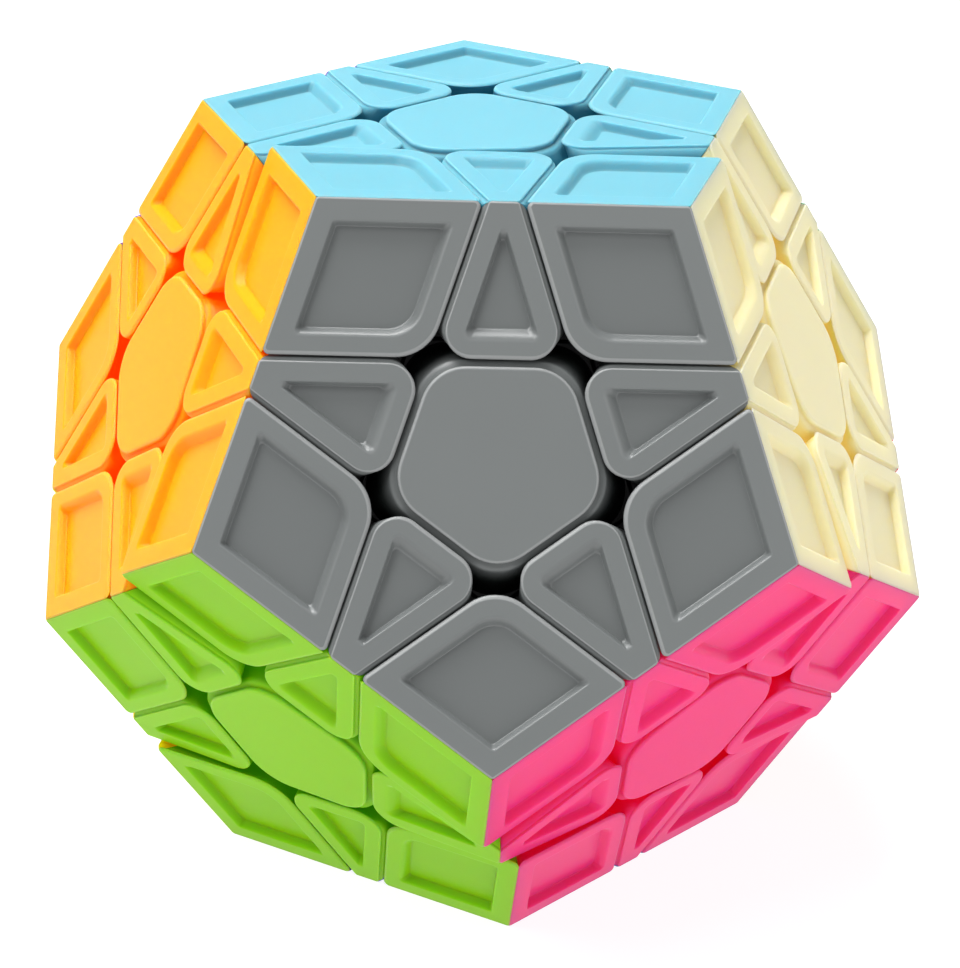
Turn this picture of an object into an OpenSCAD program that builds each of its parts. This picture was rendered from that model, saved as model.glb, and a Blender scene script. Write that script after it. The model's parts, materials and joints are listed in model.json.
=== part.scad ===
// Dodecahedron twisty puzzle: twelve turning layers on a sprung core.
// It stands on its dark blue face, with +Z up and the origin at the middle of that face.

/* [Body] */
// Length of one edge of the dodecahedron
edge_len = 31; // [25:0.5:40]
// Width of an edge tile where it reaches the puzzle's edge
tile_tip_w = 3.2; // [2.4:0.1:4.4]
// Gap between neighbouring pieces
piece_gap = 0.3; // [0.2:0.05:0.5]
// Gap between the coloured shells of one piece
shell_gap = 0.1; // [0.06:0.02:0.2]

/* [Coloured shells] */
// Depth of a coloured shell and of a centre cap
shell_depth = 4; // [3:0.1:5]
// Corner radius of a centre cap
cap_round = 4; // [2:0.1:5]
// Radius of a corner tile's inner corner
corner_tile_round = 3.9; // [2:0.1:5]
// Radius of an edge tile's two inner corners
edge_tile_round = 2.2; // [1:0.1:3]
// Depth of the sunken pocket in a tile
pocket_depth = 0.7; // [0.4:0.1:1.2]
// Rim left round an edge tile's pocket
edge_rim_w = 1.9; // [1.4:0.1:2.6]
// Rim left round a corner tile's pocket
corner_rim_w = 2.1; // [1.4:0.1:3]
// Radius of the peg under each shell
peg_r = 1.2; // [0.9:0.1:1.5]
// Length of the peg under each shell
peg_len = 1.8; // [1.2:0.1:2.2]
// Radial clearance of a peg or plug in its socket
peg_play = 0.1; // [0.05:0.05:0.2]
// Clearance between a shell's underside and the black piece below it
seat_play = 0.05; // [0.02:0.01:0.1]

/* [Resting position] */
// Angle that the gray layer rests at, clockwise from outside
gray_turn = 2.6; // [0:0.1:72]
// Angle that the dark blue layer rests at, clockwise from outside
dark_blue_turn = 3; // [0:0.1:72]

/* [Turning mechanism] */
// Thickness of a centre's roof at the rim of its flange
roof_t = 1.4; // [1:0.1:1.8]
// Depth of the necks below the blocks
neck_depth = 3.4; // [2.6:0.1:4.2]
// Thickness of the feet
foot_depth = 5.2; // [4:0.1:6.4]
// Clearance round necks and feet
turn_play = 0.35; // [0.25:0.05:0.45]
// Room between the feet and the stems that they swing past
foot_room = 0.5; // [0.4:0.05:1]

/* [Centres] */
// Outer radius of a centre's stem
stem_r = 4.7; // [3.9:0.1:5.7]
// Wall round the spring cavity in the stem
stem_wall = 1; // [0.8:0.1:1.2]
// How far a centre's stem reaches below the feet
stem_drop = 6; // [5:0.1:7.2]
// Thickness of the floor inside a centre
floor_t = 1.6; // [1.2:0.1:2]
// Length of the round plug under a cap
plug_len = 2; // [1:0.1:2.4]

/* [Core and tension parts] */
// Radius of the core ball
ball_r = 9; // [8:0.1:9.5]
// Radius of a core post
post_r = 3.8; // [3.4:0.1:4]
// Gap between a post and the centre's stem that sits on it
post_gap = 0.3; // [0.2:0.05:0.4]
// Radius of a tension screw's shank
shank_r = 1.25; // [1:0.05:1.3]
// Radial play of the shank in the centre's floor
shank_play = 0.35; // [0.3:0.05:0.5]
// Radial play of the shank in the core post
thread_play = 0.05; // [0.02:0.01:0.1]
// How deep a screw goes into its post
screw_bite = 7; // [5:0.1:8]
// Height of a screw's head
head_h = 1.8; // [1.4:0.1:2]
// Space between a screw's head and the cap's plug
head_room = 0.7; // [0.3:0.1:1.2]
// Width of the cross recess in a screw's head
recess_w = 0.7; // [0.5:0.1:0.9]
// Half length of the cross recess in a screw's head
recess_half_l = 1.8; // [1.4:0.1:2.2]
// Depth of the cross recess in a screw's head
recess_depth = 1; // [0.6:0.1:1.2]
// Radial play of a spring washer in its cavity
washer_play = 0.5; // [0.3:0.05:0.6]
// Radial play of the shank in a washer's hole
washer_hole_play = 0.1; // [0.05:0.05:0.2]
// Thickness of a spring washer
washer_t = 0.6; // [0.4:0.1:0.8]
// How far a washer stands out past the screw's head
washer_lip = 0.6; // [0.4:0.05:0.8]
// Radial play of a spring in its cavity
coil_play = 0.9; // [0.7:0.05:1]
// Radius of a spring's wire
wire_r = 0.3; // [0.25:0.05:0.35]
// Number of turns in a spring
coil_turns = 3.5; // [3:0.5:4]

/* [Hidden] */
$fn = 48;

// Name, tilt from +Z, azimuth, spin that puts a neighbour at local azimuth 0, and colour
NEIGHBOUR_TILT = acos(1 / sqrt(5));
FACES = [
    ["light_blue", 0, 0, -90, [0.52, 0.85, 0.96]],
    ["gray", NEIGHBOUR_TILT, -90, 180, [0.54, 0.55, 0.54]],
    ["cream", NEIGHBOUR_TILT, -18, 180, [0.94, 0.91, 0.74]],
    ["dark_green", NEIGHBOUR_TILT, 54, 180, [0.04, 0.42, 0.2]],
    ["purple", NEIGHBOUR_TILT, 126, 180, [0.42, 0.2, 0.62]],
    ["orange", NEIGHBOUR_TILT, 198, 180, [1, 0.64, 0.16]],
    ["pink", 180 - NEIGHBOUR_TILT, -54, 0, [0.93, 0.2, 0.5]],
    ["red", 180 - NEIGHBOUR_TILT, 18, 0, [0.8, 0.08, 0.1]],
    ["white", 180 - NEIGHBOUR_TILT, 90, 0, [0.95, 0.95, 0.94]],
    ["yellow", 180 - NEIGHBOUR_TILT, 162, 0, [0.98, 0.86, 0.1]],
    ["lime", 180 - NEIGHBOUR_TILT, 234, 0, [0.52, 0.82, 0.15]],
    ["dark_blue", 180, 0, 234, [0.08, 0.2, 0.6]]
];
BLACK = [0.06, 0.06, 0.065];
STEEL = [0.7, 0.7, 0.72];

// Layers that turn on a joint of their own, and the angles that they rest at. Every other
// piece stays with the core.
TURNING = [1, 3, 11];
REST_TURNS = [gray_turn, 0, dark_blue_turn];
FIXED = -1;
GROUPS = concat([FIXED], TURNING);
NAMES = [for (f = FACES) f[0]];

// Size of the solid: distance to a face, and from a face's middle to its side
GOLDEN = (1 + sqrt(5)) / 2;
face_dist = edge_len * GOLDEN * GOLDEN / (2 * sqrt(3 - GOLDEN));
face_side = edge_len / (2 * tan(36));

// Each layer is cut by a plane at cut_dist from the centre, which crosses
// the neighbouring faces as a line at cut_side from their middles
cut_side = face_side * cos(72) + tile_tip_w / 2 * sin(72);
cut_dist = face_dist * cos(NEIGHBOUR_TILT) + cut_side * sin(NEIGHBOUR_TILT);
slab_low = cut_dist + piece_gap / 2;
slab_other = cut_dist - piece_gap / 2;
shell_low = face_dist - shell_depth;
block_high = shell_low - seat_play;
rim_side = (slab_low - face_dist * cos(NEIGHBOUR_TILT)) / sin(NEIGHBOUR_TILT);

// Directions of the edge (two-fold) and corner (three-fold) axes from a face's axis
EDGE_TILT = NEIGHBOUR_TILT / 2;
CORNER_TILT = atan(tan(NEIGHBOUR_TILT / 2) / cos(36));

// Necks turn inside cones that meet where the centres' roofs are roof_t thick
neck_angle = atan(
    ((block_high - roof_t) / cut_dist - cos(NEIGHBOUR_TILT)) / sin(NEIGHBOUR_TILT));

// Spheres that bound the turning mechanism
block_sphere = cut_dist / cos(neck_angle);
neck_sphere = block_sphere - neck_depth;
foot_sphere = neck_sphere - foot_depth;
foot_top = neck_sphere - piece_gap / 2;
neck_low = neck_sphere + piece_gap / 2;

// Feet turn inside cones that clear the neighbouring stems
foot_angle = NEIGHBOUR_TILT - asin((stem_r + foot_room) / foot_sphere);

// Necks and feet fill their cones, less turn_play
corner_neck_r = neck_sphere * sin(neck_angle - CORNER_TILT) - turn_play;
corner_foot_angle = foot_angle - CORNER_TILT - asin(turn_play / foot_sphere);
edge_foot_angle = foot_angle - EDGE_TILT - 2 * asin(turn_play / foot_sphere);
edge_foot_half_w = foot_sphere * sin(90 - EDGE_TILT - foot_angle) - turn_play;
flange_r = neck_sphere * sin(NEIGHBOUR_TILT - neck_angle) - turn_play;

// An edge's neck is as long as its neighbours' cones leave room for, and as wide as keeps
// its four corners inside its own two cones
edge_neck_half_l = neck_sphere * sin(90 - EDGE_TILT - neck_angle) - turn_play;
cone_reach = neck_sphere * cos(neck_angle - asin(turn_play / neck_sphere));
edge_neck_half_w = cos(EDGE_TILT) * sqrt(neck_sphere ^ 2 - edge_neck_half_l ^ 2 - cone_reach ^ 2)
    - cone_reach * sin(EDGE_TILT);

// Heights on a face's axis, from the centre. A post's rim is sunk in the ball by post_root.
post_root = 0.15;
stem_low = foot_sphere - stem_drop;
post_low = sqrt(ball_r ^ 2 - post_r ^ 2) - post_root;
post_top = stem_low - post_gap;
screw_low = post_top - screw_bite + post_gap;
floor_top = stem_low + floor_t;
plug_low = shell_low - plug_len;
head_top = plug_low - head_room;
head_low = head_top - head_h;
washer_low = head_low - washer_t;

// Radii on a face's axis, from the spring cavity inwards
cavity_r = stem_r - stem_wall;
plug_r = cavity_r - peg_play;
washer_r = cavity_r - washer_play;
head_r = washer_r - washer_lip;
coil_r = cavity_r - coil_play - wire_r;
spring_play = 0.02;

// Pegs stand under the middle of their tiles
edge_peg_side = (cut_side + face_side) / 2;
corner_peg_side = (cut_side + face_side) / 2 / cos(36);

// How far joined shapes run into each other, and cutters past what they cut
merge = 1;
// A cutting box larger than the whole puzzle
BIG = 4 * edge_len;
// Steps along a rounded corner
ROUND_STEPS = 6;

// Where things point, worked out from the face table
function turn_z(a, v) = [v.x * cos(a) - v.y * sin(a), v.x * sin(a) + v.y * cos(a), v.z];
function turn_y(a, v) = [v.x * cos(a) + v.z * sin(a), v.y, v.z * cos(a) - v.x * sin(a)];
function from_face(i, v) = turn_z(FACES[i][2], turn_y(FACES[i][1], turn_z(FACES[i][3], v)));
function face_axis(i) = from_face(i, [0, 0, 1]);
function to_neighbour(k) = turn_z(72 * k, turn_y(NEIGHBOUR_TILT, [0, 0, 1]));
function neighbour(i, k) =
    [for (j = [0:11]) if (face_axis(j) * from_face(i, to_neighbour(k)) > 0.99) j][0];

// The group that a piece moves with, from the faces that it shows
function is_turning(i) = len(search(i, TURNING)) > 0;
function group_of(faces) =
    let (hits = [for (f = faces) if (is_turning(f)) f]) len(hits) > 0 ? hits[0] : FIXED;
function edge_group(i, k) = group_of([i, neighbour(i, k)]);
function corner_group(i, k) = group_of([i, neighbour(i, k), neighbour(i, k + 1)]);
function group_has(i, g) = len([
    for (k = [0:4]) if (edge_group(i, k) == g || corner_group(i, k) == g) k
]) > 0;
function group_name(g) = g == FIXED ? "fixed" : str(NAMES[g], "_layer");
function shells_name(i, g) = str(NAMES[i], "_shells_", group_name(g));

// Puts children from a face's own frame, where +Z is the face's axis, into the puzzle's
module on_face(i) {
    translate([0, 0, face_dist])
        rotate([0, FACES[i][1], FACES[i][2]])
            rotate([0, 0, FACES[i][3]])
                children();
}

// Turns children about face g's axis by the angle that its layer rests at
module in_layer(g) {
    hits = search(g, TURNING);
    translate([0, 0, face_dist])
        rotate(a = len(hits) > 0 ? -REST_TURNS[hits[0]] : 0, v = face_axis(max(g, 0)))
            translate([0, 0, -face_dist])
                children();
}

module on_each_face() {
    for (i = [0:11]) on_face(i) children();
}

// Half spaces in a face's frame: beyond and short of a distance along neighbour k's axis
module beyond(k, dist) {
    rotate([0, NEIGHBOUR_TILT, 72 * k])
        translate([-BIG / 2, -BIG / 2, dist])
            cube(BIG);
}

module short_of(k, dist) {
    rotate([0, NEIGHBOUR_TILT, 72 * k])
        translate([-BIG / 2, -BIG / 2, dist - BIG])
            cube(BIG);
}

// The side of the mitre towards this face's axis, against neighbour k's shell
module mitre(k) {
    rotate([0, EDGE_TILT - 90, 72 * k])
        translate([-BIG / 2, -BIG / 2, shell_gap / 2])
            cube(BIG);
}

// A slab across the face's axis
module slab(low, high) {
    translate([-BIG / 2, -BIG / 2, low])
        cube([BIG, BIG, high - low]);
}

// The pentagonal block inside the cuts of all five neighbours
module centre_block(low, high) {
    intersection() {
        slab(low, high);
        intersection_for (k = [0:4]) short_of(k, slab_other);
    }
}

// Rounds a corner where the planes of neighbours 0 and 1 meet. The corner's tip is at tip_y
// in a section across it, points along azimuth facing, and opens by half_angle each side.
module corner_cutter(tip_y, facing, half_angle, r) {
    centre = r / sin(half_angle);
    sweep = 90 - half_angle;
    arc = [for (s = [0:ROUND_STEPS])
        let (a = sweep * (2 * s / ROUND_STEPS - 1)) [r * cos(a) - centre, r * sin(a)]];
    clear = arc[ROUND_STEPS] + merge * [cos(sweep), sin(sweep)];
    rotate([0, 0, 36])
        translate([cut_side / cos(36), 0, face_dist])
            rotate([0, -EDGE_TILT, 0])
                translate([0, tip_y, -1.5 * shell_depth])
                    rotate([0, 0, facing])
                        linear_extrude(height = 2 * shell_depth)
                            polygon(concat(arc, [
                                clear,
                                [merge, clear.y],
                                [merge, -clear.y],
                                [clear.x, -clear.y]
                            ]));
}

// An edge tile towards neighbour 0, in its face's frame
module edge_tile() {
    half_gap = piece_gap / 2 / sin(EDGE_TILT);
    difference() {
        intersection() {
            slab(shell_low, face_dist);
            beyond(0, slab_low);
            mitre(0);
            short_of(1, slab_other);
            short_of(-1, slab_other);
        }
        corner_cutter(-half_gap, 90, EDGE_TILT, edge_tile_round);
        mirror([0, 1, 0]) corner_cutter(-half_gap, 90, EDGE_TILT, edge_tile_round);
        translate([0, 0, face_dist - pocket_depth])
            linear_extrude(height = shell_depth)
                edge_pocket();
    }
    peg(edge_peg_side);
}

// Triangular pocket, its narrow end towards the puzzle's edge
module edge_pocket() {
    tip_half_w = 0.25;
    line = cut_side - edge_rim_w;
    low = cut_side + edge_rim_w;
    high = min(face_side - edge_rim_w / 2, (line - tip_half_w * sin(72)) / cos(72));
    half_w = [for (x = [low, high]) (line - x * cos(72)) / sin(72)];
    polygon([[low, -half_w[0]], [high, -half_w[1]], [high, half_w[1]], [low, half_w[0]]]);
}

// A corner tile between neighbours 0 and 1, in its face's frame
module corner_tile() {
    gap_back = piece_gap / 2 / cos(EDGE_TILT);
    difference() {
        intersection() {
            slab(shell_low, face_dist);
            beyond(0, slab_low);
            beyond(1, slab_low);
            mitre(0);
            mitre(1);
        }
        translate(turn_z(36, turn_y(-EDGE_TILT, [gap_back, 0, 0])))
            corner_cutter(0, 180, 90 - EDGE_TILT, corner_tile_round);
        translate([0, 0, face_dist - pocket_depth])
            linear_extrude(height = shell_depth)
                corner_pocket();
    }
    rotate([0, 0, 36]) peg(corner_peg_side);
}

// Kite-shaped pocket, inset from the tile's outline
module corner_pocket() {
    near = rim_side + corner_rim_w;
    far = face_side - corner_rim_w;
    side_y = (near - far * cos(72)) / sin(72);
    rotate([0, 0, 36])
        polygon([
            [near / cos(36), 0],
            turn_flat(-36, [far, side_y]),
            [far / cos(36), 0],
            turn_flat(36, [far, -side_y])
        ]);
}

function turn_flat(a, v) = [v.x * cos(a) - v.y * sin(a), v.x * sin(a) + v.y * cos(a)];

// Peg under a shell, and the socket for it
module peg(side) {
    translate([side, 0, shell_low - peg_len])
        cylinder(r = peg_r, h = peg_len + merge);
}

module socket(side) {
    socket_depth = peg_len + 2 * peg_play;
    translate([side, 0, shell_low - socket_depth])
        cylinder(r = peg_r + peg_play, h = socket_depth + merge);
}

// The coloured shells on face i that move with group g
module shells(i, g) {
    color(FACES[i][4])
        in_layer(g) on_face(i)
            for (k = [0:4]) rotate([0, 0, 72 * k]) {
                if (edge_group(i, k) == g) edge_tile();
                if (corner_group(i, k) == g) corner_tile();
            }
}

// Black inner piece of an edge: block, neck and a foot that hooks under two centres
module edge_inner() {
    difference() {
        union() {
            difference() {
                intersection() {
                    slab(slab_low, block_high);
                    beyond(0, slab_low);
                    short_of(0, block_high);
                    short_of(1, slab_other);
                    short_of(-1, slab_other);
                }
                sphere(r = block_sphere);
            }
            rotate([0, EDGE_TILT, 0]) edge_stalk();
        }
        socket(edge_peg_side);
        rotate([0, NEIGHBOUR_TILT, 0]) mirror([1, 0, 0]) socket(edge_peg_side);
    }
}

// Neck and foot of an edge, along +Z from the puzzle's centre
module edge_stalk() {
    difference() {
        translate([-edge_neck_half_w, -edge_neck_half_l, foot_sphere])
            cube([2 * edge_neck_half_w, 2 * edge_neck_half_l, block_sphere + merge - foot_sphere]);
        sphere(r = neck_low);
    }
    translate([-edge_neck_half_w, -edge_foot_half_w, foot_sphere + merge])
        cube([2 * edge_neck_half_w, 2 * edge_foot_half_w, block_sphere - foot_sphere]);
    rotate([90, 0, 0])
        rotate([0, 0, 90 - edge_foot_angle])
            rotate_extrude(angle = 2 * edge_foot_angle)
                translate([foot_sphere, -edge_foot_half_w])
                    square([foot_top - foot_sphere, 2 * edge_foot_half_w]);
}

// Black inner piece of a corner: block, round neck and a mushroom foot under three edges
module corner_inner() {
    difference() {
        union() {
            difference() {
                intersection() {
                    slab(slab_low, block_high);
                    beyond(0, slab_low);
                    beyond(1, slab_low);
                    short_of(0, block_high);
                    short_of(1, block_high);
                }
                sphere(r = block_sphere);
            }
            rotate([0, CORNER_TILT, 36]) corner_stalk();
        }
        for (a = [0, 120, 240])
            rotate([0, 0, 36]) rotate([0, CORNER_TILT, 0]) rotate([0, 0, a])
                rotate([0, -CORNER_TILT, 0]) socket(corner_peg_side);
    }
}

// Neck and foot of a corner, along +Z from the puzzle's centre
module corner_stalk() {
    translate([0, 0, foot_sphere + merge])
        cylinder(r = corner_neck_r, h = block_sphere - foot_sphere);
    difference() {
        intersection() {
            cylinder(r1 = 0, r2 = neck_sphere * tan(corner_foot_angle), h = neck_sphere);
            sphere(r = foot_top);
        }
        sphere(r = foot_sphere);
    }
}

// The black inner pieces that move with group g, each drawn from its first face
module inner_pieces(g) {
    color(BLACK) in_layer(g)
        for (i = [0:11]) for (k = [0:4]) {
            near = neighbour(i, k);
            next = neighbour(i, k + 1);
            if (i < near && edge_group(i, k) == g)
                on_face(i) rotate([0, 0, 72 * k]) edge_inner();
            if (i < near && i < next && corner_group(i, k) == g)
                on_face(i) rotate([0, 0, 72 * k]) corner_inner();
        }
}

// Black centre piece: pentagonal seat, flange over the edges' feet, and a stem with a
// cavity for the spring
module centre_hub(i) {
    color(BLACK) in_layer(i) on_face(i) difference() {
        union() {
            difference() {
                centre_block(slab_low, block_high);
                sphere(r = block_sphere);
            }
            difference() {
                translate([0, 0, foot_sphere])
                    cylinder(r = flange_r, h = block_high - foot_sphere);
                sphere(r = neck_low);
            }
            translate([0, 0, stem_low])
                cylinder(r = stem_r, h = block_high - stem_low - merge);
        }
        translate([0, 0, floor_top])
            cylinder(r = cavity_r, h = face_dist - floor_top);
        translate([0, 0, stem_low - merge])
            cylinder(r = shank_r + shank_play, h = floor_t + 2 * merge);
    }
}

// Coloured centre cap that snaps onto the hub and hides the screw
module centre_cap(i) {
    color(FACES[i][4]) in_layer(i) on_face(i) {
        difference() {
            centre_block(shell_low, face_dist);
            for (k = [0:4]) rotate([0, 0, 72 * k])
                translate(turn_z(36, turn_y(-EDGE_TILT, [-piece_gap / 2 / cos(EDGE_TILT), 0, 0])))
                    corner_cutter(0, 0, 90 - EDGE_TILT, cap_round);
        }
        translate([0, 0, plug_low])
            cylinder(r = plug_r, h = plug_len + merge);
    }
}

// Ball with twelve posts
module core_spider() {
    color(BLACK) difference() {
        union() {
            translate([0, 0, face_dist]) sphere(r = ball_r);
            on_each_face()
                translate([0, 0, post_low])
                    cylinder(r = post_r, h = post_top - post_low);
        }
        on_each_face()
            translate([0, 0, post_top - screw_bite])
                cylinder(r = shank_r + thread_play, h = screw_bite + merge);
    }
}

module tension_screws() {
    color(STEEL) on_each_face() difference() {
        union() {
            translate([0, 0, screw_low])
                cylinder(r = shank_r, h = head_top - screw_low);
            translate([0, 0, head_low])
                cylinder(r = head_r, h = head_h);
        }
        for (a = [0, 90])
            rotate([0, 0, a])
                translate([-recess_half_l, -recess_w / 2, head_top - recess_depth])
                    cube([2 * recess_half_l, recess_w, recess_depth + merge]);
    }
}

module spring_washers() {
    color(STEEL) on_each_face()
        translate([0, 0, washer_low]) difference() {
            cylinder(r = washer_r, h = washer_t);
            translate([0, 0, -merge])
                cylinder(r = shank_r + washer_hole_play, h = washer_t + 2 * merge);
        }
}

// Coil springs between the centre's floor and the washer
module coil_springs() {
    sides = 5;
    steps = 12 * coil_turns;
    low = floor_top + wire_r + spring_play;
    high = washer_low - wire_r - spring_play;
    points = [for (s = [0:steps]) for (w = [0:sides - 1])
        let (a = 360 * coil_turns * s / steps, b = 360 * w / sides, rho = coil_r + wire_r * cos(b))
        [rho * cos(a), rho * sin(a), low + (high - low) * s / steps + wire_r * sin(b)]];
    walls = [for (s = [0:steps - 1]) for (w = [0:sides - 1])
        let (n = (w + 1) % sides, p = s * sides, q = p + sides)
        [p + w, q + w, q + n, p + n]];
    ends = [[for (w = [0:sides - 1]) w], [for (w = [sides - 1:-1:0]) steps * sides + w]];
    color(STEEL) on_each_face() polyhedron(points, concat(walls, ends));
}

core_spider();
tension_screws();
coil_springs();
spring_washers();
for (g = GROUPS)
    inner_pieces(g);
for (i = [0:11])
    centre_hub(i);
for (i = [0:11])
    centre_cap(i);
for (g = GROUPS) for (i = [0:11]) if (group_has(i, g))
    shells(i, g);
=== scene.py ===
"""Dodecahedron twisty puzzle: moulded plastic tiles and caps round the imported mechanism."""
import json
import math

import bpy
from mathutils import Matrix, Vector

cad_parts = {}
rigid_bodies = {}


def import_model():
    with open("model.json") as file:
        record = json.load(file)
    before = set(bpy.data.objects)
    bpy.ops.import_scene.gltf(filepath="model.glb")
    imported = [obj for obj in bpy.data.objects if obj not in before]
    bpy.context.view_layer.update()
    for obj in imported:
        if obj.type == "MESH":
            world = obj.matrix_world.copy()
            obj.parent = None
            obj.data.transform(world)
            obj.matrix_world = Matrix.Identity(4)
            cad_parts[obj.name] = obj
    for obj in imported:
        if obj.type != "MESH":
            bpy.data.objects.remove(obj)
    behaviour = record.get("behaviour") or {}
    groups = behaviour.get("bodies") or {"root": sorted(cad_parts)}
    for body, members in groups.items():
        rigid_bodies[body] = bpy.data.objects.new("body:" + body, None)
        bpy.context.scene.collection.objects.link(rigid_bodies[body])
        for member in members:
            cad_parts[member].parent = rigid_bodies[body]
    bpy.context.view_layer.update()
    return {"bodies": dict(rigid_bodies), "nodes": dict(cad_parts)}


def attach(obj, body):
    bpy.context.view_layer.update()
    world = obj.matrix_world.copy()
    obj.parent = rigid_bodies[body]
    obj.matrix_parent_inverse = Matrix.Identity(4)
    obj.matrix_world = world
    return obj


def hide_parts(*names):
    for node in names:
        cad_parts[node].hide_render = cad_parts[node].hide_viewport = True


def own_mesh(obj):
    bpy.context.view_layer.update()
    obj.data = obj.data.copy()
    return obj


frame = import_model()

MM = 0.001

# ---------------------------------------------------------------- the solid
# Angle between neighbouring face axes, and what follows from it
NEIGHBOUR_TILT = math.acos(1 / math.sqrt(5))
MITRE_SLOPE = math.tan(NEIGHBOUR_TILT / 2)
CUT_SLOPE = 1 / math.tan(NEIGHBOUR_TILT)
FIFTH = math.radians(72)
TOP_CAP = frame["nodes"]["light_blue_centre_cap"]
FACE_DIST = max((TOP_CAP.matrix_world @ Vector(corner)).z for corner in TOP_CAP.bound_box) / 2
EDGE_LEN = FACE_DIST * 2 * math.sqrt((5 - math.sqrt(5)) / 2) / ((1 + math.sqrt(5)) / 2) ** 2
FACE_SIDE = EDGE_LEN / 2 / math.tan(math.pi / 5)

# Cuts between the layers, where they cross a face
TILE_TIP = 3.2 * MM
PIECE_GAP = 0.45 * MM
SHELL_GAP = 0.03 * MM
CUT_SIDE = FACE_SIDE * math.cos(FIFTH) + TILE_TIP / 2 * math.sin(FIFTH)
HALF_GAP = PIECE_GAP / 2 / math.sin(NEIGHBOUR_TILT)
SHELL_DEPTH = 4 * MM

# Name, tilt from +Z, azimuth and spin of each face, in degrees
TILT = math.degrees(NEIGHBOUR_TILT)
FACES = {
    "light_blue": (0, 0, -90),
    "gray": (TILT, -90, 180),
    "cream": (TILT, -18, 180),
    "dark_green": (TILT, 54, 180),
    "purple": (TILT, 126, 180),
    "orange": (TILT, 198, 180),
    "pink": (180 - TILT, -54, 0),
    "red": (180 - TILT, 18, 0),
    "white": (180 - TILT, 90, 0),
    "yellow": (180 - TILT, 162, 0),
    "lime": (180 - TILT, 234, 0),
    "dark_blue": (180, 0, 234),
}

# Angles that two layers rest at, clockwise from outside
REST_TURNS = {"gray": 2.6, "dark_blue": 3.0}


def turn_about(face, angle):
    """Turns about a face's axis, through the puzzle's centre."""
    centre = Matrix.Translation((0, 0, FACE_DIST))
    axis = face_frame(face).to_3x3() @ Vector((0, 0, 1))
    return centre @ Matrix.Rotation(angle, 4, axis) @ centre.inverted()


def at_rest(body):
    """Where a body's layer rests, from the squared-up puzzle."""
    for face, angle in REST_TURNS.items():
        if body in (face + "_layer", face + "_centre"):
            return turn_about(face, -math.radians(angle))
    return Matrix.Identity(4)


def face_frame(face):
    """The face's own frame: +Z along its axis, a neighbour at azimuth 0."""
    tilt, azimuth, spin = (math.radians(a) for a in FACES[face])
    turn = Matrix.Rotation(azimuth, 4, "Z") @ Matrix.Rotation(tilt, 4, "Y") @ Matrix.Rotation(spin, 4, "Z")
    return Matrix.Translation((0, 0, FACE_DIST)) @ turn


def neighbour(face, k):
    """The face across side k."""
    out = Matrix.Rotation(k * FIFTH, 3, "Z") @ Matrix.Rotation(NEIGHBOUR_TILT, 3, "Y") @ Vector((0, 0, 1))
    wanted = face_frame(face).to_3x3() @ out
    return max(FACES, key=lambda other: (face_frame(other).to_3x3() @ Vector((0, 0, 1))).dot(wanted))


def layer_of(shown):
    """The body that a piece moves with, from the faces that it shows."""
    for face in shown:
        if face + "_layer" in frame["bodies"]:
            return face + "_layer"
    return "core"


# ---------------------------------------------------------------- finishes
class Value:
    """An output of a finish's node that takes part in arithmetic."""

    def __init__(self, finish, socket):
        self.finish, self.socket = finish, socket

    def math(self, operation, first, second):
        return self.finish.node("ShaderNodeMath", {"operation": operation}, {0: first, 1: second})

    def __add__(self, other):
        return self.math("ADD", self, other)

    def __sub__(self, other):
        return self.math("SUBTRACT", self, other)

    def __rsub__(self, other):
        return self.math("SUBTRACT", other, self)

    def __mul__(self, other):
        return self.math("MULTIPLY", self, other)

    __radd__ = __add__
    __rmul__ = __mul__


class Finish:
    """A material, built from its nodes."""

    def __init__(self, name):
        self.material = bpy.data.materials.new(name)
        self.material.use_nodes = True
        self.nodes = self.material.node_tree.nodes
        self.links = self.material.node_tree.links
        self.shader = self.nodes["Principled BSDF"]

    def node(self, kind, settings=None, inputs=None, output=0):
        """Adds a node, sets it up, fills its inputs and gives one of its outputs."""
        made = self.nodes.new(kind)
        for name, value in (settings or {}).items():
            setattr(made, name, value)
        for name, value in (inputs or {}).items():
            self.fill(made.inputs[name], value)
        return Value(self, made.outputs[output])

    def fill(self, socket, value):
        if isinstance(value, Value):
            self.links.new(value.socket, socket)
        else:
            socket.default_value = value

    def mix(self, factor, first, second):
        """Mixes two colours."""
        return self.node("ShaderNodeMix", {"data_type": "RGBA"}, {0: factor, 6: first, 7: second}, 2)

    def noise(self, scale, detail, stretch=(1, 1, 1)):
        """Noise from 0 to 1 in the piece's own space, scale in waves per metre."""
        place = self.node("ShaderNodeTexCoord", output=3)
        place = self.node("ShaderNodeVectorMath", {"operation": "MULTIPLY"}, {0: place, 1: stretch})
        return self.node("ShaderNodeTexNoise", None, {"Vector": place, "Scale": scale, "Detail": detail})

    def mask(self, name):
        """A value from 0 to 1 that the mesh carries."""
        return self.node("ShaderNodeAttribute", {"attribute_name": name}, None, 2)

    def bump(self, height, strength, distance):
        return self.node("ShaderNodeBump", None,
                         {"Height": height, "Strength": strength, "Distance": distance})

    def surface(self, **inputs):
        """Fills the shader's inputs, named with _ for a space."""
        for name, value in inputs.items():
            self.fill(self.shader.inputs[name.replace("_", " ")], value)
        return self.material


def shade(colour, factor):
    """The colour made lighter or darker."""
    return tuple(min(1, c * factor) for c in colour[:3]) + (1,)


BLACK_COLOUR, WHITE_COLOUR = (0, 0, 0, 1), (1, 1, 1, 1)
# How much deeper and darker a colour is painted down in the gaps, as a power: painted shade, and the glow
# colour of the see-through plastics
DEEPENING = 2.4
# How far light scatters in the plastic
SCATTER = 2.5 * MM
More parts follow.
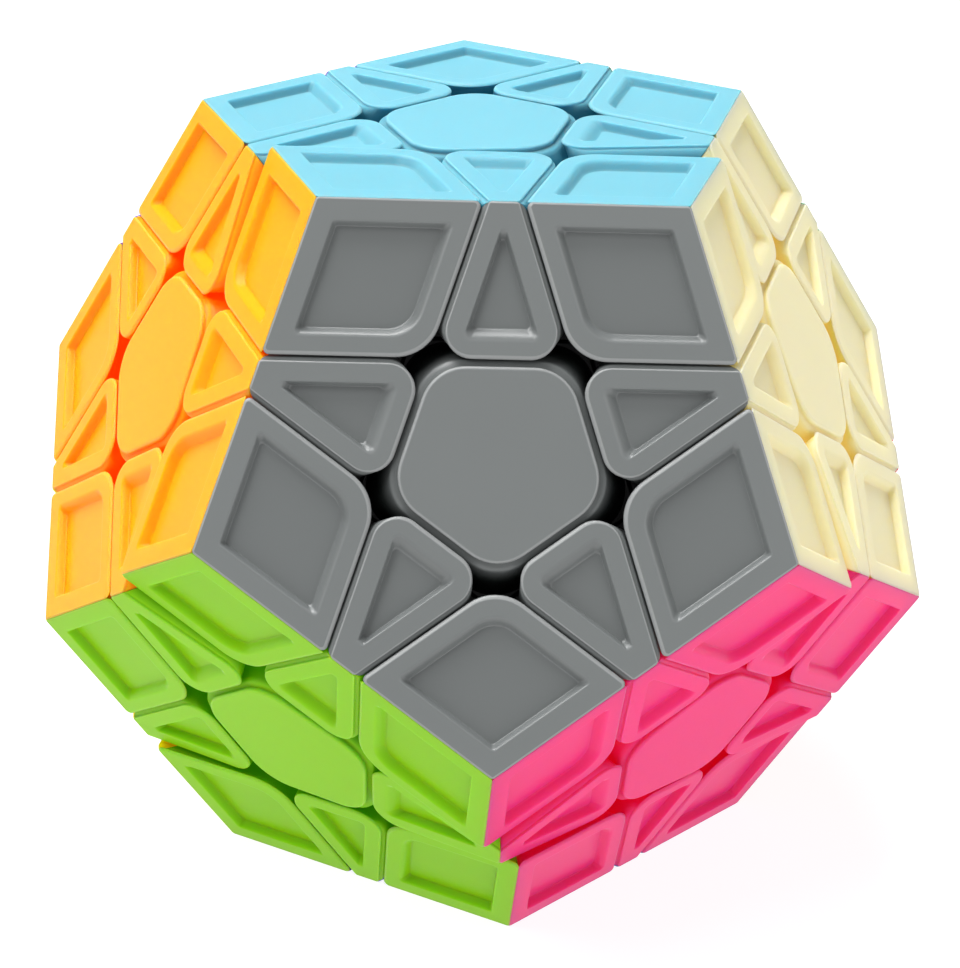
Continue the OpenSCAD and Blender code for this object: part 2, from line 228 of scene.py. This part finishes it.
# Grain of the tiles, of the black plastic and of the steel, and slow clouding, in waves per metre
TILE_GRAIN, BLACK_GRAIN, STEEL_STREAKS = 5200, 3800, 900
TILE_CLOUD, BLACK_CLOUD, FLOOR_CLOUD = 70, 120, 30
# Depths of the grain's relief
TILE_RELIEF, INNER_RELIEF = 0.04 * MM, 0.05 * MM


def tile_plastic(name, colour, see_through):
    """Self-coloured moulded plastic: satin grain, smoother pocket floors darkened with painted shade,
    rougher worn edges with a painted highlight.

    Down in the gaps the colour turns deeper and darker as painted shade, and the see-through plastics glow
    there with painted light."""
    made = Finish(name)
    deep_colour = tuple(c ** DEEPENING for c in colour) + (1,)
    grain = made.noise(TILE_GRAIN, 3)
    cloud = made.noise(TILE_CLOUD, 2)
    wear_and_highlight = made.mask("wear_and_highlight")
    sunken = made.mask("sunken")
    gap_shade_and_glow = made.mask("gap_shade_and_glow")
    body = made.mix(cloud, shade(colour, 0.96), shade(colour, 1.04))
    # Painted shade: the pocket floors and lower walls are darker, most on the opaque plastics.
    body = made.mix(sunken * 0.9, body, shade(colour, 0.87 + 0.13 * see_through))
    # Painted highlight: the rounded edges turn paler towards white, most on the opaque plastics.
    body = made.mix(wear_and_highlight * (0.14 - 0.12 * see_through), body, WHITE_COLOUR)
    # Painted shade: deep down in the gaps the colour turns to its deeper, darker tone.
    body = made.mix(gap_shade_and_glow, body, deep_colour)
    return made.surface(
        Base_Color=body,
        Roughness=0.32 + grain * 0.08 - sunken * 0.04 + wear_and_highlight * 0.04,
        Normal=made.bump(grain, 0.12, TILE_RELIEF),
        Specular_IOR_Level=0.6 - 0.6 * see_through,
        Subsurface_Weight=see_through,
        Subsurface_Radius=colour,
        Subsurface_Scale=SCATTER,
        # Painted glow: the see-through plastics glow in the deep colour down in the gaps.
        Emission_Color=made.mix(gap_shade_and_glow, BLACK_COLOUR, deep_colour),
        Emission_Strength=see_through * 0.4,
    )


def black_plastic():
    """Black moulded plastic of the inner pieces, with a fine matt grain."""
    made = Finish("black_plastic")
    grain = made.noise(BLACK_GRAIN, 3)
    body = made.mix(made.noise(BLACK_CLOUD, 3), (0.006, 0.006, 0.007, 1), (0.014, 0.014, 0.015, 1))
    return made.surface(
        Base_Color=body,
        Roughness=0.5 + grain * 0.15,
        Normal=made.bump(grain, 0.15, INNER_RELIEF),
    )


def zinc_steel():
    """Zinc-plated steel with faint drawn streaks."""
    made = Finish("zinc_steel")
    streaks = made.noise(STEEL_STREAKS, 4, (1, 1, 6))
    body = made.mix(streaks, (0.46, 0.46, 0.48, 1), (0.66, 0.66, 0.67, 1))
    return made.surface(
        Base_Color=body,
        Metallic=1.0,
        Roughness=0.24 + streaks * 0.16,
        Normal=made.bump(streaks, 0.1, INNER_RELIEF),
    )


COLOURS = {
    "light_blue": (0.15, 0.40, 0.49),
    "gray": (0.184, 0.197, 0.196),
    "cream": (0.90, 0.81, 0.47),
    "dark_green": (0.004, 0.17, 0.045),
    "purple": (0.15, 0.035, 0.36),
    "orange": (1.0, 0.35, 0.006),
    "pink": (0.86, 0.03, 0.19),
    "red": (0.62, 0.012, 0.015),
    "white": (0.86, 0.86, 0.84),
    "yellow": (0.93, 0.68, 0.01),
    "lime": (0.25, 0.57, 0.004),
    "dark_blue": (0.012, 0.05, 0.36),
}
OPAQUE = ("gray", "dark_blue")
SEE_THROUGH = 0.85
PLASTICS = {
    name: tile_plastic(name + "_plastic", colour, 0 if name in OPAQUE else SEE_THROUGH)
    for name, colour in COLOURS.items()
}
BLACK = black_plastic()
STEEL = zinc_steel()

# ---------------------------------------------------------------- outlines
# Steps round a corner of an outline, down a pocket's wall and over a rounded edge
CORNER_STEPS = 10
WALL_STEPS = 7
EDGE_STEPS = 5
# Depths of the rings down a piece's outer walls, as parts of its depth
WALL_PARTS = (1 / 4, 1 / 2, 1)
# A holding ring this far from a rounded edge keeps the flat beside it flat
HOLD = 0.05 * MM
# Rounding along the cuts, along the solid's own edges, and of the cap's rim
CUT_ROUND = 0.25 * MM
SOLID_ROUND = 0.35 * MM
CAP_ROUND = 0.5 * MM
# Corner radius of the cap, and the smallest that an outline may have
CAP_CORNER = 4 * MM
SMALLEST = 0.04 * MM
# Depths over which a piece's walls fade into the painted shade and painted glow of the gaps
DEEP_FROM, DEEP_TO = 0.2 * MM, 1.6 * MM


def ring(sides, radii):
    """Points round a convex outline with rounded corners.

    A side is (angle of its outward normal, distance from the face's middle, depth)."""
    points = []
    for (angle, at, depth), (angle2, at2, depth2), radius in zip(sides, sides[1:] + sides[:1], radii):
        turn = (angle2 - angle) % (2 * math.pi)
        near, far = at - radius, at2 - radius
        along = (far - near * math.cos(turn)) / math.sin(turn)
        out, across = Vector((math.cos(angle), math.sin(angle))), Vector((-math.sin(angle), math.cos(angle)))
        centre = out * near + across * along
        for step in range(CORNER_STEPS + 1):
            part = step / CORNER_STEPS
            facing = angle + turn * part
            edge = centre + radius * Vector((math.cos(facing), math.sin(facing)))
            points.append(Vector((edge.x, edge.y, FACE_DIST - depth - (depth2 - depth) * part)))
    return points


class Side:
    """One side of a tile's outline: a cut between pieces, or a mitre at the solid's edge."""

    def __init__(self, fifths, at, slope, rim=0, wall=0):
        self.angle, self.at, self.slope = fifths * FIFTH, at, slope
        self.rim, self.wall = rim, wall
        self.is_mitre = slope == -MITRE_SLOPE

    def edge(self, part, round_r):
        """Inset and depth at part 0 to 1 of the way over the side's rounded edge."""
        if self.is_mitre:
            lean = NEIGHBOUR_TILT / 2 * part
            return SOLID_ROUND * (MITRE_SLOPE - math.sin(lean)), SOLID_ROUND * (1 - math.cos(lean))
        lean = math.pi / 2 * part
        depth = round_r * (1 - math.cos(lean))
        return round_r * (1 - math.sin(lean)) + self.slope * depth, depth

    def on_edge(self, part, round_r, hold=0):
        inset, depth = self.edge(part, round_r)
        return self.angle, self.at - inset - hold, depth

    def on_wall(self, depth):
        return self.angle, self.at + self.slope * depth, depth


def outer_rings(sides, radii, round_r):
    """Rings from the flat top, over the rounded edge and down the walls to the underside."""
    def radii_less(inset):
        return [max(r - inset, SMALLEST) for r in radii]
    rings = [ring([s.on_edge(0, round_r, HOLD) for s in sides], radii_less(round_r + HOLD))]
    for step in range(EDGE_STEPS + 1):
        part = step / EDGE_STEPS
        inset = round_r * (1 - math.sin(math.pi / 2 * part))
        rings.append(ring([s.on_edge(part, round_r) for s in sides], radii_less(inset)))
    for depth in [round_r + HOLD] + [part * SHELL_DEPTH for part in WALL_PARTS]:
        rings.append(ring([s.on_wall(depth) for s in sides], radii))
    return rings


def skin(rings):
    """Points and polygons of a closed skin over rings that have equal numbers of points."""
    count = len(rings[0])
    polygons = [list(range(count))]
    for level in range(len(rings) - 1):
        first, second = level * count, (level + 1) * count
        for p in range(count):
            q = (p + 1) % count
            polygons.append([first + q, first + p, second + p, second + q])
    last = (len(rings) - 1) * count
    polygons.append([last + p for p in reversed(range(count))])
    return [p for r in rings for p in r], polygons


def add_mesh(name, points, polygons, material):
    """Adds a smooth mesh to the scene."""
    mesh = bpy.data.meshes.new(name)
    mesh.from_pydata(points, [], polygons)
    mesh.update()
    mesh.shade_smooth()
    mesh.materials.append(material)
    added = bpy.data.objects.new(name, mesh)
    bpy.context.scene.collection.objects.link(added)
    return added


def add_piece(name, face, k, body, rings, sunken_rings=0):
    """Makes a closed piece from rings, from the middle of its top to its underside."""
    place = at_rest(body) @ face_frame(face) @ Matrix.Rotation(k * FIFTH, 4, "Z")
    points, polygons = skin(rings)
    piece = add_mesh(name, [place @ p for p in points], polygons, PLASTICS[face])
    edge_start = len(rings) - len(WALL_PARTS) - 1 - (EDGE_STEPS + 1)
    levels = [level for level, r in enumerate(rings) for _ in r]
    # Pocket floors and lower walls: a smoother finish and painted shade.
    mark(piece.data, "sunken", [float(level < sunken_rings) for level in levels])
    # Rounded edges: a rougher finish and a painted highlight.
    mark(piece.data, "wear_and_highlight", [float(edge_start < level < edge_start + EDGE_STEPS) for level in levels])
    # Walls deep below the face: painted shade and a painted glow.
    depths = [FACE_DIST - p.z if level >= edge_start else 0 for level, p in zip(levels, points)]
    mark(piece.data, "gap_shade_and_glow", [min(1, max(0, (d - DEEP_FROM) / (DEEP_TO - DEEP_FROM))) for d in depths])
    return piece


def mark(mesh, name, values):
    """Gives the mesh a value at each point, which its finish reads."""
    layer = mesh.attributes.new(name, "FLOAT", "POINT")
    layer.data.foreach_set("value", values)


def fit(piece, body, node):
    """Attaches the piece to the body that it rides on and hides the node that it stands for."""
    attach(piece, body)
    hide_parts(node)


# ---------------------------------------------------------------- tiles and caps
POCKET_DEPTH = 0.8 * MM
# Width of the rim and of the pocket's wall, on a corner tile and on an edge tile
CORNER_RIM, CORNER_WALL = 1.85 * MM, 0.45 * MM
CORNER_CUT_RIM, CORNER_CUT_WALL = 1.45 * MM, 0.8 * MM
EDGE_RIM, EDGE_WALL = 1.7 * MM, 0.35 * MM
EDGE_END_RIM, EDGE_END_WALL = 1.3 * MM, 1.2 * MM


def pocket_rings(rings_at):
    """Rings up a pocket's wall, from the crisp edge of its floor to the rounded rim."""
    rings = [rings_at(1, POCKET_DEPTH, HOLD)]
    for step in range(WALL_STEPS + 1):
        part = 1 - step / WALL_STEPS
        rings.append(rings_at(part, POCKET_DEPTH * (1 - math.cos(math.pi / 2 * part)), 0))
    rings.append(rings_at(0, 0, -HOLD))
    return rings


def blend(first, second, part):
    """Radii a part of the way from the first list to the second."""
    return [a + (b - a) * part for a, b in zip(first, second)]


def corner_tile_rings():
    """Kite-shaped tile between neighbours 0 and 1, with a kite-shaped pocket."""
    cut, mitre = -(CUT_SIDE + HALF_GAP), FACE_SIDE - SHELL_GAP / 2
    sides = [
        Side(0, mitre, -MITRE_SLOPE, CORNER_RIM, CORNER_WALL),
        Side(1, mitre, -MITRE_SLOPE, CORNER_RIM, CORNER_WALL),
        Side(2.5, cut, -CUT_SLOPE, CORNER_CUT_RIM, CORNER_CUT_WALL),
        Side(3.5, cut, -CUT_SLOPE, CORNER_CUT_RIM, CORNER_CUT_WALL),
    ]
    rim_radii = [0.4 * MM, 0.4 * MM, 3.0 * MM, 0.4 * MM]
    floor_radii = [0.3 * MM, 0.3 * MM, 2.4 * MM, 0.3 * MM]

    def pocket(part, depth, extra):
        return ring([(s.angle, s.at - s.rim - s.wall * part - extra, depth) for s in sides],
                    blend(rim_radii, floor_radii, part))
    outer = [0.35 * MM, 0.45 * MM, 3.9 * MM, 0.45 * MM]
    return pocket_rings(pocket) + outer_rings(sides, outer, CUT_ROUND)


def edge_tile_rings():
    """Tapered tile towards neighbour 0, with a triangular pocket."""
    side_line = CUT_SIDE - HALF_GAP
    sides = [
        Side(0, FACE_SIDE - SHELL_GAP / 2, -MITRE_SLOPE),
        Side(1, side_line, CUT_SLOPE, EDGE_RIM, EDGE_WALL),
        Side(2.5, -(CUT_SIDE + HALF_GAP), -CUT_SLOPE, EDGE_END_RIM, EDGE_END_WALL),
        Side(4, side_line, CUT_SLOPE, EDGE_RIM, EDGE_WALL),
    ]
    rim_tip, floor_tip = 0.3 * MM, 0.2 * MM
    rim_radii = [0.25 * MM, 0.6 * MM, 0.6 * MM, 0.25 * MM]
    floor_radii = [0.15 * MM, 0.4 * MM, 0.4 * MM, 0.15 * MM]

    def pocket(part, depth, extra):
        lines = [(s.angle, s.at - s.rim - s.wall * part - extra, depth) for s in sides]
        tip = rim_tip + (floor_tip - rim_tip) * part
        lines[0] = (0, (lines[1][1] - tip * math.sin(FIFTH)) / math.cos(FIFTH), depth)
        return ring(lines, blend(rim_radii, floor_radii, part))
    outer = [0.3 * MM, 2.2 * MM, 2.2 * MM, 0.3 * MM]
    return pocket_rings(pocket) + outer_rings(sides, outer, CUT_ROUND)


def cap_rings():
    """Flat pentagonal cap with rounded corners and a rounded rim."""
    sides = [Side(k, CUT_SIDE - HALF_GAP, CUT_SLOPE) for k in range(5)]
    return outer_rings(sides, [CAP_CORNER] * len(sides), CAP_ROUND)


def shells_name(face, body):
    """The node that holds a face's shells on a body."""
    return face + "_shells_" + ("fixed" if body == "core" else body)


def build_face(face):
    """The face's cap, five edge tiles and five corner tiles."""
    cap = add_piece(face + "_cap", face, 0, face + "_centre", cap_rings())
    fit(cap, face + "_centre", face + "_centre_cap")
    for k in range(5):
        across, beside = neighbour(face, k), neighbour(face, k + 1)
        body = layer_of([face, across])
        tile = add_piece(f"{face}_edge_tile_{k + 1}", face, k, body, edge_tile_rings(), WALL_STEPS)
        fit(tile, body, shells_name(face, body))
        body = layer_of([face, across, beside])
        tile = add_piece(f"{face}_corner_tile_{k + 1}", face, k, body, corner_tile_rings(), WALL_STEPS)
        fit(tile, body, shells_name(face, body))


for face in FACES:
    build_face(face)

# ---------------------------------------------------------------- mechanism
STEEL_NODES = ("tension_screws", "spring_washers")
for name, part in frame["nodes"].items():
    if "_shells_" in name or name.endswith("_cap") or name == "coil_springs":
        continue
    for slot in part.material_slots:
        slot.material = STEEL if name in STEEL_NODES else BLACK

# Where a spring stands on the centre's floor and meets the washer, from the puzzle's centre
SPRING_LOW, SPRING_HIGH = 18.04 * MM, 25.4 * MM
SPRING_R, WIRE_R, SPRING_TURNS = 2.5 * MM, 0.3 * MM, 3.5
STEPS_A_TURN, WIRE_SIDES = 24, 8


def add_spring(face):
    """Wire coil round a screw, from the centre's floor up to the washer."""
    steps = round(SPRING_TURNS * STEPS_A_TURN)
    low, high = SPRING_LOW + WIRE_R, SPRING_HIGH - WIRE_R
    place = face_frame(face)
    rings = []
    for step in range(steps + 1):
        turn = Matrix.Rotation(2 * math.pi * step / STEPS_A_TURN, 3, "Z")
        height = Vector((0, 0, low + (high - low) * step / steps))
        around = [2 * math.pi * side / WIRE_SIDES for side in range(WIRE_SIDES)]
        wire = [Vector((SPRING_R + WIRE_R * math.cos(a), 0, WIRE_R * math.sin(a))) for a in around]
        rings.append([place @ (turn @ off + height) for off in wire])
    spring = add_mesh(face + "_spring", *skin(rings), STEEL)
    fit(spring, "core", "coil_springs")
    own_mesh(spring)


for face in FACES:
    add_spring(face)

# ---------------------------------------------------------------- camera, floor and light
CAMERA_AZIMUTH, CAMERA_HEIGHT_ANGLE = math.radians(-3.17), math.radians(25.86)
CAMERA_DIST = 0.2449
LENS = 94.8
# The camera and the lights point a little below the puzzle's middle
AIM = Vector((0.00014, 0, 0.95 * FACE_DIST))
FLOOR_HALF = 3
FLOOR_COLOUR = (0.25, 0.25, 0.25)
FLOOR_GLOW = 0.9
WORLD_GLOW = 0.3
# Name, place, diameter and power of each light
LIGHTS = (
    ("key_light", (-0.35, -0.25, 0.66), 0.3, 2.2),
    ("top_light", (-0.15, 0.22, 0.76), 0.6, 9),
    ("front_light", (0.5, -0.5, 0.3), 0.5, 0.8),
)


def add_camera():
    """Camera round the puzzle, a little above it."""
    data = bpy.data.cameras.new("camera")
    data.lens = LENS
    camera = bpy.data.objects.new("camera", data)
    level = math.cos(CAMERA_HEIGHT_ANGLE)
    towards = Vector((
        level * math.sin(CAMERA_AZIMUTH),
        -level * math.cos(CAMERA_AZIMUTH),
        math.sin(CAMERA_HEIGHT_ANGLE),
    ))
    turn = towards.to_track_quat("Z", "Y").to_matrix().to_4x4()
    camera.matrix_world = Matrix.Translation(AIM + towards * CAMERA_DIST) @ turn
    bpy.context.scene.collection.objects.link(camera)
    bpy.context.scene.camera = camera


def add_soft_light(name, place, size, power):
    """Round soft light that points at the puzzle."""
    data = bpy.data.lights.new(name, "AREA")
    data.shape, data.size, data.energy = "DISK", size, power
    light = bpy.data.objects.new(name, data)
    light.location = place
    light.rotation_euler = (Vector(place) - AIM).to_track_quat("Z", "Y").to_euler()
    bpy.context.scene.collection.objects.link(light)


def add_floor():
    """White glowing table top."""
    corners = [(-FLOOR_HALF, -FLOOR_HALF, 0), (FLOOR_HALF, -FLOOR_HALF, 0)]
    corners += [(FLOOR_HALF, FLOOR_HALF, 0), (-FLOOR_HALF, FLOOR_HALF, 0)]
    made = Finish("floor_paper")
    body = made.mix(made.noise(FLOOR_CLOUD, 2), shade(FLOOR_COLOUR, 0.96), shade(FLOOR_COLOUR, 1.04))
    paper = made.surface(
        Base_Color=body,
        Roughness=0.9,
        Emission_Color=WHITE_COLOUR,
        Emission_Strength=FLOOR_GLOW,
    )
    add_mesh("floor", corners, [[0, 1, 2, 3]], paper)


def add_world():
    """Faint light from all round."""
    world = bpy.data.worlds.new("studio")
    world.use_nodes = True
    back = world.node_tree.nodes["Background"]
    back.inputs["Color"].default_value = WHITE_COLOUR
    back.inputs["Strength"].default_value = WORLD_GLOW
    bpy.context.scene.world = world


add_camera()
add_floor()
add_world()
for light in LIGHTS:
    add_soft_light(*light)
bpy.context.scene.view_settings.view_transform = "Standard"
